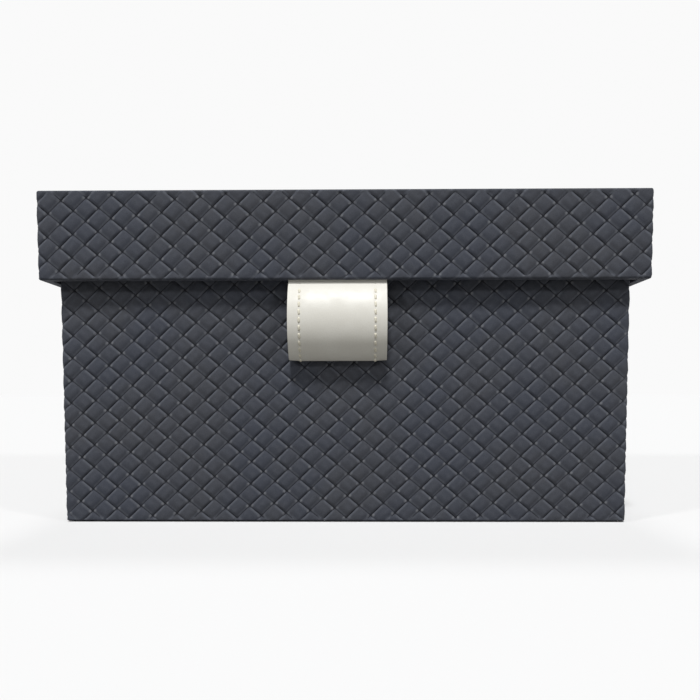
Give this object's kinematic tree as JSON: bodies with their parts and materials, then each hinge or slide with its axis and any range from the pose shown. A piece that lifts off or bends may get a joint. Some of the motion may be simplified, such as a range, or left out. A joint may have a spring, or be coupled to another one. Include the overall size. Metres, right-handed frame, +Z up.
{
  "type": "storage box",
  "caption": "Lidded storage box in dark plaited leatherette over board, with a lift-off lid and an ivory pull loop.",
  "frame": {"origin": "centre of the underside of the base", "axes": "+Z up, +X along the box to the right, the front with the pull loop faces -Y"},
  "size_m": [0.34, 0.258, 0.186],
  "materials": {
    "greyboard": "matt grey board",
    "paper_tape": "brown kraft paper tape",
    "plaited_leatherette": "dark blue-grey, satin, embossed with a diagonal plait",
    "base_paper": "black, matt",
    "cloth_lining": "charcoal fine cloth on card",
    "ivory_leather": "ivory, smooth, soft sheen",
    "thread": "ivory thread"
  },
  "bodies": {
    "box": {"base_board": "greyboard", "box_front_board": "greyboard", "box_back_board": "greyboard", "box_left_board": "greyboard", "box_right_board": "greyboard", "box_corner_tapes": "paper_tape", "box_wrap": "plaited_leatherette", "base_sheet": "base_paper", "box_floor_lining": "cloth_lining", "box_front_lining": "cloth_lining", "box_back_lining": "cloth_lining", "box_left_lining": "cloth_lining", "box_right_lining": "cloth_lining"},
    "lid": {"lid_top_board": "greyboard", "lid_front_board": "greyboard", "lid_back_board": "greyboard", "lid_left_board": "greyboard", "lid_right_board": "greyboard", "lid_corner_tapes": "paper_tape", "lid_wrap": "plaited_leatherette", "lid_ceiling_lining": "cloth_lining", "lid_front_lining": "cloth_lining", "lid_back_lining": "cloth_lining", "lid_left_lining": "cloth_lining", "lid_right_lining": "cloth_lining", "strap_front_end": "ivory_leather", "strap_back_end": "ivory_leather"},
    "loop": {"strap_face": "ivory_leather", "strap_backing": "ivory_leather", "stitches_left": "thread", "stitches_right": "thread"}
  },
  "joints": [
    {"name": "lid_lift", "type": "slide", "parent": "box", "child": "lid", "axis": [0, 0, 1], "range_m": [0, 0.15]},
    {"name": "loop_swing", "type": "hinge", "parent": "lid", "child": "loop", "pos_m": [-0.0034, -0.1212, 0.1349], "axis": [-1, 0, 0], "range_deg": [0, 45]}
  ]
}
